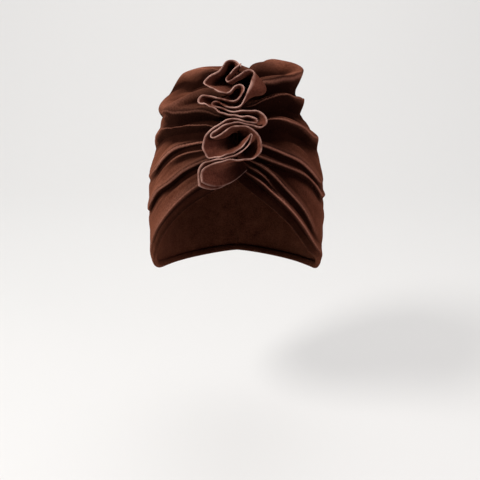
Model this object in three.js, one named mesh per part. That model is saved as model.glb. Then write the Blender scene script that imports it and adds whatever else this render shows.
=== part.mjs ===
// Turban headwrap of brown stretch velour, in millimetres.
// It is worn with the face towards -Y, and +Z is up. The origin lies at the middle of
// the head opening, at the height of the hem beside the ears.

import * as THREE from "three";

// Driving sizes

const CROWN = { middle: 50, halfWidth: 75.5, front: 92, back: 99, up: 122, down: 135, fullness: 2.5 };
const CLOTH = 2.6;              // doubled velour, pile included
const GAP = 0.3;                // left between two pieces that touch
const SEAM_START = 37;          // front seam's lower end, degrees above level, seen from the middle
const SEAM_END = 100;           // its upper end, just past the top
const NAPE = -31;               // back seam's lower end, degrees above level
const BACK_TOP = 62;            // its upper end
const EAR = -26;                // hem beside the ears, degrees above level
const SIDE_LOW = -0.14;         // beside the head the lowest threads keep this far to the front
const SIDE_TOP = 0.27;          // and the highest this far to the back, as shares of the way
const FOLD_FADE = [0.012, 0.09];    // the folds rise out of the front seam over this share of the way round
const TOP_RISE = 10;            // cloth gathered up round the seam's upper end
const TOP_GATHERS = 0.75;       // these start at this share of the way up
const TOP_FADE = [0.4, 0.9];    // and die away between these shares of the way round
const STEEPEST_WALL = 2.2;      // a steep fold's wall grows to this many times the cloth at most
const FRONT_CROWDING = 1.5;     // above 1 it crowds the panels' columns together at the front
const LEAN = 5;                 // the crown's top leans this far to the left
const LEAN_FROM = 110;          // the lean starts at this height
const LEAN_TO = 160;            // and is whole at this height
const LEAN_FADE = [0.1, 0.5];   // the front seam stays upright, and it leans from here round
const HEM_HEIGHT = 7;           // turned-in hem
const HEM_THICKNESS = 4.2;
const SHARPEST_MITRE = 0.6;     // cosine of the sharpest half turn that the hem is mitred for
const RUFFLE_CLOTH = 1.0;       // one layer of velour
const RUFFLE_REACH = 42;        // width of the free cloth beyond the seam
const RUFFLE_STAND = 31;        // how far its edge stands off the crown
const CLIMB_RADIUS = 140;       // turns a climb along the front into an angle
const RUFFLE_FOOT = 0.02;       // its gathers start this far up the seam
const RUFFLE_TOP = 0.62;        // and reach this far up
const RUFFLE_TAIL = 0.24;       // its last stretch runs on by this much
const TAIL_FROM = 0.88;         // which starts at this share of its gathers
const RUFFLE_ROOT = 14;         // at its top it stands straight out of the seam this far before it bends
const LOW_ROOT = 2;             // and at its lower end this far
const RUFFLE_FLARE = 1.3;       // above 1 it turns sideways later on its way out
const LEAST_STAND = 0.05;       // keeps the outermost bends off the crown
const RUFFLE_LIP = 10;          // and its edge turns outward over this width
const FOOT_GAP = 1.8;           // from the crown to the ruffle's lower edge
const SEAM_SPACING = 2.6;       // from the seam to the middle of either ruffle layer

const PANEL_ROWS = 42;
const PANEL_COLUMNS = 25;
const HEM_STEPS = 30;
const HEM_SIDES = 8;
const RUFFLE_LEVELS = 4;
const ARC_STEP = THREE.MathUtils.degToRad(42);

// Line of the panels' lower edge, in degrees above level seen from the crown's middle,
// from the front seam (0) round to the back seam (1).

const HEM_PLACES = [0, 0.1, 0.2, 0.3, 0.4, 0.5, 0.65, 0.8, 1];

const HEM_LINE = {
  left: [37, 23, 5.5, -10, -19, -26, -32, -34, -31],
  right: [37, 18, -3, -13, -20, -27, -32, -34, -31],
};

// Folds of the crown. Heights up the cloth run from 0 at the hem to 1 at the top. A line
// gives a fold's height at five places on its way round, from the front seam (0) to the
// back seam (1), and rise gives how far its crest stands off the head there, in
// millimetres. Above and below are its widths up and down the cloth.

const FOLD_PLACES = [0.05, 0.15, 0.28, 0.45, 0.75];

const LEFT_FOLDS = [
  { fold: "hem ridge", line: [0.04, 0.03, 0.03, 0.03, 0.03], rise: [2, 3, 2, 1, 0], above: 0.09, below: 0.04 },
  { fold: "brow", line: [0.13, 0.125, 0.21, 0.33, 0.40], rise: [4, 7, 6, 4, 0], above: 0.10, below: 0.035 },
  { fold: "temple", line: [0.22, 0.25, 0.37, 0.48, 0.52], rise: [4, 6, 4, 2, 0], above: 0.07, below: 0.035 },
  { fold: "tuck", line: [0.31, 0.40, 0.53, 0.62, 0.66], rise: [5, 7, 4, 1, 0], above: 0.05, below: 0.05 },
  { fold: "front of puff", line: [0.46, 0.50, 0.63, 0.76, 0.80], rise: [9, 13, 8, 5, 0], above: 0.12, below: 0.05 },
  { fold: "top of puff", line: [0.72, 0.80, 0.84, 0.86, 0.88], rise: [8, 11, 13, 13, 0], above: 0.13, below: 0.15 },
];

const RIGHT_FOLDS = [
  { fold: "hem ridge", line: [0.03, 0.02, 0.02, 0.02, 0.02], rise: [3, 3, 2, 1, 0], above: 0.05, below: 0.04 },
  { fold: "cheek", line: [0.10, 0.06, 0.04, 0.04, 0.04], rise: [4, 4, 1, 0, 0], above: 0.035, below: 0.025 },
  { fold: "brow", line: [0.15, 0.19, 0.27, 0.34, 0.38], rise: [6, 8, 7, 5, 0], above: 0.05, below: 0.035 },
  { fold: "temple", line: [0.20, 0.245, 0.34, 0.43, 0.46], rise: [4, 6, 4, 2, 0], above: 0.05, below: 0.03 },
  { fold: "tuck", line: [0.31, 0.44, 0.55, 0.65, 0.67], rise: [5, 8, 7, 4, 0], above: 0.05, below: 0.05 },
  { fold: "roll", line: [0.41, 0.57, 0.68, 0.765, 0.78], rise: [9, 13, 13, 13, 0], above: 0.05, below: 0.05 },
  { fold: "flap", line: [0.58, 0.66, 0.74, 0.80, 0.83], rise: [13, 18, 22, 25, 0], above: 0.20, below: 0.05 },
];

// Bends of the ruffle's two free edges, from its top to its bottom end, seen from the
// front. Side and climb place the middle of a bend, climb being measured up round the
// front. A turn of 1 is to the left and -1 to the right. Seam is where the bend's cloth
// is gathered into the front seam, from 0 at the ruffle's bottom end to 1 at its top.

const RIGHT_EDGE = [
  { bend: "top end", side: -22, climb: 147, radius: 0, turn: 1, seam: 1.00 },
  { bend: "first dip", side: -6.5, climb: 141, radius: 4.4, turn: 1, seam: 0.985 },
  { bend: "spike", side: 11.2, climb: 153, radius: 3, turn: -1, seam: 0.90 },
  { bend: "bowl", side: -2, climb: 129.5, radius: 9, turn: -1, seam: 0.73 },
  { bend: "left tip", side: -16.7, climb: 126, radius: 2.1, turn: 1, seam: 0.64 },
  { bend: "long sag", side: 0, climb: 134, radius: 16.2, turn: 1, seam: 0.58 },
  { bend: "right loop", side: 17.5, climb: 114, radius: 6.2, turn: -1, seam: 0.48 },
  { bend: "bump", side: -2, climb: 104.8, radius: 5.4, turn: 1, seam: 0.40 },
  { bend: "inner tip", side: -17, climb: 101.4, radius: 2.5, turn: 1, seam: 0.34 },
  { bend: "top of oval", side: 4, climb: 86, radius: 21.5, turn: -1, seam: 0.28 },
  { bend: "end of oval", side: 10.3, climb: 95.5, radius: 9.2, turn: -1, seam: 0.21 },
  { bend: "foot of oval", side: 9.3, climb: 93, radius: 9.8, turn: -1, seam: 0.15 },
  { bend: "straight", side: -5, climb: 62.6, radius: 20, turn: 1, seam: 0.09 },
  { bend: "last fold", side: -20.5, climb: 74.2, radius: 5.6, turn: 1, seam: 0.04 },
  { bend: "bottom end", side: -25.4, climb: 67.5, radius: 0, turn: 1, seam: 0.00 },
];

const LEFT_EDGE = [
  { bend: "top end", side: -25, climb: 146, radius: 0, turn: 1, seam: 1.00 },
  { bend: "first dip", side: -7.8, climb: 138.8, radius: 6.2, turn: 1, seam: 0.87 },
  { bend: "small loop", side: 3.2, climb: 136, radius: 4.1, turn: -1, seam: 0.775 },
  { bend: "inner bowl", side: -3.2, climb: 131, radius: 5.6, turn: -1, seam: 0.75 },
  { bend: "left tip", side: -27, climb: 133.6, radius: 2.7, turn: 1, seam: 0.66 },
  { bend: "long sag", side: 0, climb: 134, radius: 19.3, turn: 1, seam: 0.56 },
  { bend: "inner loop", side: 14.2, climb: 112.2, radius: 2.6, turn: -1, seam: 0.50 },
  { bend: "bump", side: -3, climb: 104.3, radius: 8.6, turn: 1, seam: 0.42 },
  { bend: "outer round", side: -14.5, climb: 96.5, radius: 10.3, turn: 1, seam: 0.34 },
  { bend: "foot of round", side: -17, climb: 90.3, radius: 5.8, turn: 1, seam: 0.28 },
  { bend: "way out", side: -9, climb: 107, radius: 20.3, turn: 1, seam: 0.21 },
  { bend: "narrow tip", side: 11.9, climb: 101.8, radius: 1.2, turn: -1, seam: 0.15 },
  { bend: "way back", side: -9, climb: 107, radius: 22.8, turn: -1, seam: 0.12 },
  { bend: "last fold", side: -21.5, climb: 76, radius: 6.9, turn: 1, seam: 0.06 },
  { bend: "bottom end", side: -27.4, climb: 64.8, radius: 0, turn: 1, seam: 0.00 },
];

// Colours

const CROWN_BROWN = 0x3f241c;
const HEM_BROWN = 0x3a211a;
const RUFFLE_BROWN = 0x4a2a24;
const velour = (colour) => new THREE.MeshStandardMaterial({ color: colour, roughness: 0.95, metalness: 0 });

// Plain helpers

const { clamp, degToRad, lerp, smoothstep } = THREE.MathUtils;
const arcLook = (angle) => new THREE.Vector3(0, -Math.cos(angle), Math.sin(angle));
const sum = (values) => values.reduce((total, value) => total + value, 0);

// A smooth line through heights given at places, held level past both ends.
function lineAt(places, heights, place) {
  if (place <= places[0]) return heights[0];
  const last = places.length - 1;
  if (place >= places[last]) return heights[last];
  const k = places.findIndex((p) => place < p) - 1;
  const slope = (i) => {
    const a = Math.max(i - 1, 0);
    const b = Math.min(i + 1, last);
    return (heights[b] - heights[a]) / (places[b] - places[a]);
  };
  const width = places[k + 1] - places[k];
  const s = (place - places[k]) / width;
  const h00 = 2 * s ** 3 - 3 * s ** 2 + 1;
  const h10 = s ** 3 - 2 * s ** 2 + s;
  const h11 = s ** 3 - s ** 2;
  return h00 * heights[k] + (1 - h00) * heights[k + 1] + width * (h10 * slope(k) + h11 * slope(k + 1));
}

// The crown

// Distance from the crown's middle to the head, in a direction.
function crownRadius(d) {
  const depth = d.y < 0 ? CROWN.front : CROWN.back;
  const height = d.z > 0 ? CROWN.up : CROWN.down;
  const parts = [d.x / CROWN.halfWidth, d.y / depth, d.z / height];
  return sum(parts.map((part) => Math.abs(part) ** CROWN.fullness)) ** (-1 / CROWN.fullness);
}

// The cloth's threads run from the front seam, round one side, to the back seam. Up is
// the height from hem to top and round the way from the front seam to the back seam.
function thread(up, round) {
  const start = arcLook(degToRad(lerp(SEAM_START, SEAM_END, up)));
  const rear = degToRad(lerp(NAPE, BACK_TOP, up));
  const finish = new THREE.Vector3(0, Math.cos(rear), Math.sin(rear));
  const beside = degToRad(lerp(EAR, 90, up));
  const shift = lerp(SIDE_LOW, SIDE_TOP, up ** 2);
  const middle = new THREE.Vector3(Math.cos(beside), shift, Math.sin(beside)).normalize();
  const pull = middle.multiplyScalar(2).addScaledVector(start, -0.5).addScaledVector(finish, -0.5);
  const d = start.multiplyScalar((1 - round) ** 2);
  d.addScaledVector(pull, 2 * round * (1 - round));
  return d.addScaledVector(finish, round ** 2);
}

// The threads near the hem are bent to follow its line.
function direction(up, round, hand) {
  const d = thread(up, round);
  const lowest = thread(0, round);
  const hem = degToRad(lineAt(HEM_PLACES, HEM_LINE[hand], round));
  d.z += (Math.tan(hem) * Math.hypot(lowest.x, lowest.y) - lowest.z) * (1 - up) ** 2;
  d.x *= hand === "left" ? -1 : 1;
  return d.normalize();
}

// A round-topped ridge, 1 at its crest and 0 at its feet.
const ridge = (x) => Math.max(0, 1 - x * x) ** 1.5;

function foldHeight(row, up, round) {
  const line = lineAt(FOLD_PLACES, row.line, round);
  const away = up - line;
  const across = ridge(away / (away > 0 ? row.above : row.below));
  const rise = Math.max(0, lineAt(FOLD_PLACES, row.rise, round));
  return rise * across * smoothstep(round, ...FOLD_FADE);
}

// How far the folded cloth stands off the head. Where folds meet, the higher one shows.
function relief(up, round, hand) {
  const folds = hand === "left" ? LEFT_FOLDS : RIGHT_FOLDS;
  const gathered = TOP_RISE * smoothstep(up, TOP_GATHERS, 1) * (1 - smoothstep(round, ...TOP_FADE));
  const heights = folds.map((row) => foldHeight(row, up, round));
  return sum([...heights, gathered].map((height) => height ** 3)) ** (1 / 3);
}

// A point of the cloth, off being its distance from the head.
function crownPoint(up, round, hand, off) {
  const d = direction(up, round, hand);
  const radius = crownRadius(d);
  const point = d.clone().multiplyScalar(radius + off);
  point.z += CROWN.middle;
  const height = CROWN.middle + radius * d.z;
  const lean = LEAN * smoothstep(height, LEAN_FROM, LEAN_TO) * smoothstep(round, ...LEAN_FADE);
  point.x += (hand === "left" ? -GAP / 2 : GAP / 2) - lean;
  return point;
}

// The cloth is as thick on a slope as on the level, so the radial wall grows with slope.
function radialWall(up, round, hand) {
  const step = 0.004;
  const spot = (u, r) => {
    const height = relief(u, r, hand);
    return { height, point: crownPoint(u, r, hand, 0) };
  };
  const least = 0.05;
  const slope = (a, b) => (b.height - a.height) / Math.max(a.point.distanceTo(b.point), least);
  const across = slope(spot(Math.max(up - step, 0), round), spot(Math.min(up + step, 1), round));
  const along = slope(spot(up, Math.max(round - step, 0)), spot(up, Math.min(round + step, 1)));
  return CLOTH * clamp(Math.hypot(1, across, along), 1, STEEPEST_WALL);
}

// A closed wall between two like grids of points, outside first.
function wall(outside, inside, flip) {
  const rows = outside.length;
  const columns = outside[0].length;
  const points = [...outside.flat(), ...inside.flat()];
  const index = (layer, i, j) => (layer * rows + i) * columns + j;
  const faces = [];
  const quad = (a, b, c, d) => faces.push(a, b, c, a, c, d);
  for (let i = 0; i + 1 < rows; i++) {
    for (let j = 0; j + 1 < columns; j++) {
      quad(index(0, i, j), index(0, i, j + 1), index(0, i + 1, j + 1), index(0, i + 1, j));
      quad(index(1, i, j), index(1, i + 1, j), index(1, i + 1, j + 1), index(1, i, j + 1));
    }
  }
  for (let j = 0; j + 1 < columns; j++) {
    const top = rows - 1;
    quad(index(0, 0, j), index(1, 0, j), index(1, 0, j + 1), index(0, 0, j + 1));
    quad(index(0, top, j + 1), index(1, top, j + 1), index(1, top, j), index(0, top, j));
  }
  for (let i = 0; i + 1 < rows; i++) {
    const end = columns - 1;
    quad(index(0, i + 1, 0), index(1, i + 1, 0), index(1, i, 0), index(0, i, 0));
    quad(index(0, i, end), index(1, i, end), index(1, i + 1, end), index(0, i + 1, end));
  }
  if (flip) faces.reverse();
  const geometry = new THREE.BufferGeometry().setFromPoints(points);
  geometry.setIndex(faces);
  geometry.computeVertexNormals();
  return geometry;
}

// Columns of the panel lie closer together at the front, where the gathers are.
const panelRound = (column) => (column / PANEL_COLUMNS) ** FRONT_CROWDING;

function crownPanel(hand) {
  const layer = (depth) => Array.from({ length: PANEL_ROWS + 1 }, (_, i) => {
    const up = i / PANEL_ROWS;
    return Array.from({ length: PANEL_COLUMNS + 1 }, (_, j) => {
      const round = panelRound(j);
      const off = CLOTH + relief(up, round, hand) - depth * radialWall(up, round, hand);
      return crownPoint(up, round, hand, off);
    });
  });
  return wall(layer(0), layer(1), hand === "left");
}

// The hem is a flattened tube that runs round the whole head opening.
function hemBand() {
  const stops = [];
  for (let i = 0; i < HEM_STEPS; i++) stops.push([i / HEM_STEPS, "left"]);
  for (let i = HEM_STEPS; i > 0; i--) stops.push([i / HEM_STEPS, "right"]);
  const edge = stops.map(([round, hand]) => crownPoint(0, round, hand, CLOTH / 2));
  const rings = stops.map(([round, hand], i) => {
    const out = direction(0, round, hand);
    const next = edge[(i + 1) % edge.length];
    const before = edge[(i + edge.length - 1) % edge.length];
    const along = next.clone().sub(before).normalize();
    const turn = along.dot(next.clone().sub(edge[i]).normalize());
    const down = out.clone().cross(along).normalize().divideScalar(Math.max(turn, SHARPEST_MITRE));
    const middle = edge[i].clone().addScaledVector(down, HEM_HEIGHT / 2 + 2 * GAP);
    return Array.from({ length: HEM_SIDES }, (_, k) => {
      const angle = (k + 0.5) / HEM_SIDES * 2 * Math.PI;
      const point = middle.clone().addScaledVector(down, HEM_HEIGHT / 2 * Math.sin(angle));
      return point.addScaledVector(out, HEM_THICKNESS / 2 * Math.cos(angle));
    });
  });
  const points = rings.flat();
  const faces = [];
  rings.forEach((_, i) => {
    const next = (i + 1) % rings.length;
    for (let k = 0; k < HEM_SIDES; k++) {
      const a = i * HEM_SIDES + k;
      const b = i * HEM_SIDES + (k + 1) % HEM_SIDES;
      const c = next * HEM_SIDES + (k + 1) % HEM_SIDES;
      const d = next * HEM_SIDES + k;
      faces.push(a, d, c, a, c, b);
    }
  });
  const geometry = new THREE.BufferGeometry().setFromPoints(points);
  geometry.setIndex(faces);
  geometry.computeVertexNormals();
  return geometry;
}

// The ruffle

// A free edge runs like a belt round its bends. Each bend gives the arc on which the
// edge leaves the straight stretch before it and joins the straight stretch after it.
function edgePath(rows) {
  const middles = rows.map((row) => new THREE.Vector2(row.side, row.climb));
  const headings = rows.slice(1).map((row, i) => {
    const before = rows[i];
    const line = middles[i + 1].clone().sub(middles[i]);
    const offset = before.turn * before.radius - row.turn * row.radius;
    const tilt = Math.asin(clamp(offset / line.length(), -1, 1));
    return Math.atan2(line.y, line.x) + tilt;
  });
  const path = [];
  rows.forEach((row, i) => {
    const enter = headings[Math.max(i - 1, 0)];
    const leave = headings[Math.min(i, headings.length - 1)];
    const full = 2 * Math.PI;
    const swing = row.radius === 0 ? 0 : ((row.turn * (leave - enter)) % full + full) % full;
    const steps = Math.max(1, Math.ceil(swing / ARC_STEP));
    const count = row.radius === 0 ? 0 : steps;
    for (let k = 0; k <= count; k++) {
      const heading = enter + row.turn * swing * (count ? k / count : 0);
      const side = row.side + row.turn * row.radius * Math.sin(heading);
      const climb = row.climb - row.turn * row.radius * Math.cos(heading);
      path.push({ side, climb, bend: i, part: count ? k / count - 0.5 : 0 });
    }
  });
  return path;
}

// Each point of the edge is joined to its own place on the seam.
function seamPlaces(rows, path) {
  const lengths = [0];
  for (let i = 1; i < path.length; i++) {
    const sideways = path[i].side - path[i - 1].side;
    const upward = path[i].climb - path[i - 1].climb;
    lengths.push(lengths[i - 1] + Math.hypot(sideways, upward));
  }
  const middles = rows.map((_, bend) => {
    const own = lengths.filter((_, i) => path[i].bend === bend);
    return (own[0] + own[own.length - 1]) / 2;
  });
  return lengths.map((length) => {
    const k = clamp(middles.findIndex((m) => m > length) - 1, 0, rows.length - 2);
    const past = length >= middles[rows.length - 1];
    const part = past ? 1 : (length - middles[k]) / Math.max(middles[k + 1] - middles[k], 1e-6);
    return past ? rows[rows.length - 1].seam : lerp(rows[k].seam, rows[k + 1].seam, clamp(part, 0, 1));
  });
}

function edgePoint(side, climb, inward) {
  const d = arcLook(climb / CLIMB_RADIUS);
  const stand = RUFFLE_STAND * Math.sqrt(Math.max(1 - (side / RUFFLE_REACH) ** 2, LEAST_STAND));
  const point = d.clone().multiplyScalar(crownRadius(d) + CLOTH + stand - inward);
  point.z += CROWN.middle;
  point.x += side;
  return point;
}

function ruffleMiddle(rows, hand) {
  const path = edgePath(rows);
  const places = seamPlaces(rows, path);
  const apart = hand === "left" ? -SEAM_SPACING : SEAM_SPACING;
  return path.map((spot, i) => {
    const tail = RUFFLE_TAIL * smoothstep(places[i], TAIL_FROM, 1);
    const up = lerp(RUFFLE_FOOT, RUFFLE_TOP, places[i]) + tail;
    const off = CLOTH + relief(up, 0, hand) + FOOT_GAP;
    const foot = crownPoint(up, 0, "right", off).setX(apart);
    const reach = lerp(LOW_ROOT, RUFFLE_ROOT, places[i]);
    const root = foot.clone().addScaledVector(direction(up, 0, "right"), reach);
    const lip = edgePoint(spot.side, spot.climb, RUFFLE_LIP);
    const edge = edgePoint(spot.side, spot.climb, 0);
    const profile = new THREE.CubicBezierCurve3(foot, root, lip, edge);
    return Array.from({ length: RUFFLE_LEVELS + 1 }, (_, k) => {
      const level = k / RUFFLE_LEVELS;
      return profile.getPoint(level).setX(lerp(foot.x, edge.x, level ** RUFFLE_FLARE));
    });
  });
}

// Both faces lie half a thickness from the middle of the cloth.
function ruffle(rows, hand) {
  const middle = ruffleMiddle(rows, hand);
  const last = middle.length - 1;
  const normals = middle.map((line, i) => line.map((_, k) => {
    const along = middle[Math.min(i + 1, last)][k].clone().sub(middle[Math.max(i - 1, 0)][k]);
    const out = line[Math.min(k + 1, RUFFLE_LEVELS)].clone().sub(line[Math.max(k - 1, 0)]);
    return along.cross(out).normalize();
  }));
  const face = (offset) => middle.map((line, i) => line.map((point, k) => (
    point.clone().addScaledVector(normals[i][k], offset))));
  return wall(face(RUFFLE_CLOTH / 2), face(-RUFFLE_CLOTH / 2), true);
}

// Assembly

const turban = new THREE.Group();

function add(name, geometry, colour) {
  const mesh = new THREE.Mesh(geometry, velour(colour));
  mesh.name = name;
  turban.add(mesh);
}

add("crown_panel_left", crownPanel("left"), CROWN_BROWN);
add("crown_panel_right", crownPanel("right"), CROWN_BROWN);
add("hem_band", hemBand(), HEM_BROWN);
add("ruffle_left", ruffle(LEFT_EDGE, "left"), RUFFLE_BROWN);
add("ruffle_right", ruffle(RIGHT_EDGE, "right"), RUFFLE_BROWN);

export default turban;
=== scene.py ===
# %% [markdown]
# A turban headwrap of brown stretch velour. The real one is a soft cap: two crown panels
# are gathered into a seam down the front, the panels' own edges stand out of that seam
# as a ruffle, and the head opening is finished with a turned-in hem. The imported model
# gives the frame, and this lesson dresses each of its five solids in cloth.

# %% Load the frame
import math

import bpy
import numpy as np
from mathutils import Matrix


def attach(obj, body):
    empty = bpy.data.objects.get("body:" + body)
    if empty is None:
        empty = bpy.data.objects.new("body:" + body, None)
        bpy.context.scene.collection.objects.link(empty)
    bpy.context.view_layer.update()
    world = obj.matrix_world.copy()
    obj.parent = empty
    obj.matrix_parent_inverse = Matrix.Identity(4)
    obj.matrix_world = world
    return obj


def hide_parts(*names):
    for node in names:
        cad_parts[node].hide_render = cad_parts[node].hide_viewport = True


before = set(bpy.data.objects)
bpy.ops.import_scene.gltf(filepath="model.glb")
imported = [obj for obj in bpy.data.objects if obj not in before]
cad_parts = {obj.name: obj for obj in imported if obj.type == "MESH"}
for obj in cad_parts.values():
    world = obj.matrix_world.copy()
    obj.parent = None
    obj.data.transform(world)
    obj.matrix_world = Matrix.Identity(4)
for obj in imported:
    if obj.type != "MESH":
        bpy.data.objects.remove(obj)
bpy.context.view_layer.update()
print("frame nodes:", sorted(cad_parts))

# %% [markdown]
# The camera stands a little above the hem and looks down by 18 degrees, as in the
# photograph. It is set first, so that every later step can be judged through it. A long
# lens from about 0.6 m keeps the ruffle, which is nearest, from looking too big.

# %% Camera
camera_data = bpy.data.cameras.new("camera")
camera = bpy.data.objects.new("camera", camera_data)
bpy.context.collection.objects.link(camera)
camera.location = (0.0032, -0.6260, 0.2311)
camera.rotation_euler = (math.radians(72), 0, 0)
camera_data.sensor_width = 36
camera_data.lens = 53.325
camera_data.clip_start = 0.01
bpy.context.scene.camera = camera
print("camera lens", camera_data.lens, "mm")

# %% [markdown]
# Gathered and draped cloth could be simulated, but this turban's folds are sewn in: each
# one starts at the front seam at a known height. So the folds are drawn instead. Smooth
# lines give where each fold runs and how far it stands off, which keeps them where the
# photograph shows them.

# %% Plain helpers
RNG = np.random.default_rng(7)
MM = 0.001
WAVES, WAVE_SPREAD, BEND_SPREAD = 7, (0.45, 1.3), (0.2, 0.8)


def smooth(x, a, b):
    s = np.clip((np.asarray(x, float) - a) / (b - a), 0, 1)
    return s * s * (3 - 2 * s)


def lerp(a, b, s):
    return a + (b - a) * s


def unit(v):
    return v / np.maximum(np.linalg.norm(v, axis=-1, keepdims=True), 1e-12)


def line_at(places, heights, x):
    """A smooth line through heights at places, held level past both ends."""
    places, heights = np.asarray(places, float), np.asarray(heights, float)
    last = len(places) - 1
    x = np.clip(np.asarray(x, float), places[0], places[-1])
    k = np.clip(np.searchsorted(places, x, side="right") - 1, 0, last - 1)
    every = np.arange(last + 1)
    before, after = np.maximum(every - 1, 0), np.minimum(every + 1, last)
    slope = (heights[after] - heights[before]) / (places[after] - places[before])
    width = places[k + 1] - places[k]
    s = (x - places[k]) / width
    h00, h10, h11 = 2 * s**3 - 3 * s**2 + 1, s**3 - 2 * s**2 + s, s**3 - s**2
    level = h00 * heights[k] + (1 - h00) * heights[k + 1]
    return level + width * (h10 * slope[k] + h11 * slope[k + 1])


def ripples(u, v, across, along):
    """Soft seeded waves about 1 high, so many to the width and so many to the length."""
    total = np.zeros(np.broadcast(u, v).shape)
    for _ in range(WAVES):
        fu, fv = across * RNG.uniform(*WAVE_SPREAD), along * RNG.uniform(-1, 1)
        bend, phase = RNG.uniform(*BEND_SPREAD), RNG.uniform(0, 2 * math.pi)
        swing = bend * np.sin(2 * math.pi * fv * v + phase)
        total += np.sin(2 * math.pi * (fu * u + fv * v) + phase + swing)
    return total / math.sqrt(WAVES)


print("helpers ready")

# %% [markdown]
# The crown is a rounded form a little fuller than an egg. Threads run from the front
# seam, round one side, to the back seam. Up counts them from the hem (0) to the top (1)
# and round is the way along each (0 at the front seam, 1 at the back). A mesh laid along
# the threads has its edges where the real cloth's folds run, so folds stay clean.

# %% The crown's form
CROWN = {
    "middle": 50, "half_width": 75.5, "front": 92, "back": 99, "up": 122, "down": 135,
    "fullness": 2.5,
}
SEAM = (37, 100)
BACK_SEAM = (-31, 62)
EAR = -26
SIDE = (-0.14, 0.27)
SHELL = 2.6
LEAN, LEAN_HEIGHT, LEAN_FADE = 5, (110, 160), (0.1, 0.5)
HEM_PLACES = [0, 0.1, 0.2, 0.3, 0.4, 0.5, 0.65, 0.8, 1]
HEM_LINE = {
    "left": [37, 23, 5.5, -10, -19, -26, -32, -34, -31],
    "right": [37, 18, -3, -13, -20, -27, -32, -34, -31],
}


def arc(degrees):
    a = np.radians(degrees)
    return np.stack([0 * a, -np.cos(a), np.sin(a)], -1)


def crown_radius(d):
    depth = np.where(d[..., 1] < 0, CROWN["front"], CROWN["back"])
    height = np.where(d[..., 2] > 0, CROWN["up"], CROWN["down"])
    full = CROWN["fullness"]
    parts = np.abs(d[..., 0] / CROWN["half_width"]) ** full
    parts = parts + np.abs(d[..., 1] / depth) ** full + np.abs(d[..., 2] / height) ** full
    return parts ** (-1 / full)


def thread(up, around):
    start = arc(lerp(*SEAM, up))
    rear = np.radians(lerp(*BACK_SEAM, up))
    finish = np.stack([0 * rear, np.cos(rear), np.sin(rear)], -1)
    beside = np.radians(lerp(EAR, 90, up))
    middle = unit(np.stack([np.cos(beside), lerp(*SIDE, up**2), np.sin(beside)], -1))
    pull = 2 * middle - 0.5 * start - 0.5 * finish
    t = around[..., None]
    return (1 - t) ** 2 * start + 2 * t * (1 - t) * pull + t**2 * finish


def direction(up, around, hand):
    up, around = np.broadcast_arrays(np.asarray(up, float), np.asarray(around, float))
    d = thread(up, around)
    lowest = thread(0 * up, around)
    hem = np.radians(line_at(HEM_PLACES, HEM_LINE[hand], around))
    lift = np.tan(hem) * np.hypot(lowest[..., 0], lowest[..., 1]) - lowest[..., 2]
    d[..., 2] += lift * (1 - up) ** 2
    d[..., 0] *= -1 if hand == "left" else 1
    return unit(d)


def crown_point(up, around, hand, off):
    """A place on the cloth, in millimetres, off being its distance from the bare form."""
    up, around = np.broadcast_arrays(np.asarray(up, float), np.asarray(around, float))
    d = direction(up, around, hand)
    radius = crown_radius(d)
    point = d * (radius + off)[..., None]
    point[..., 2] += CROWN["middle"]
    height = CROWN["middle"] + radius * d[..., 2]
    point[..., 0] -= LEAN * smooth(height, *LEAN_HEIGHT) * smooth(around, *LEAN_FADE)
    return point


print("crown height", crown_point(1, 0.0, "left", SHELL)[2].round(1), "mm")
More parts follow.
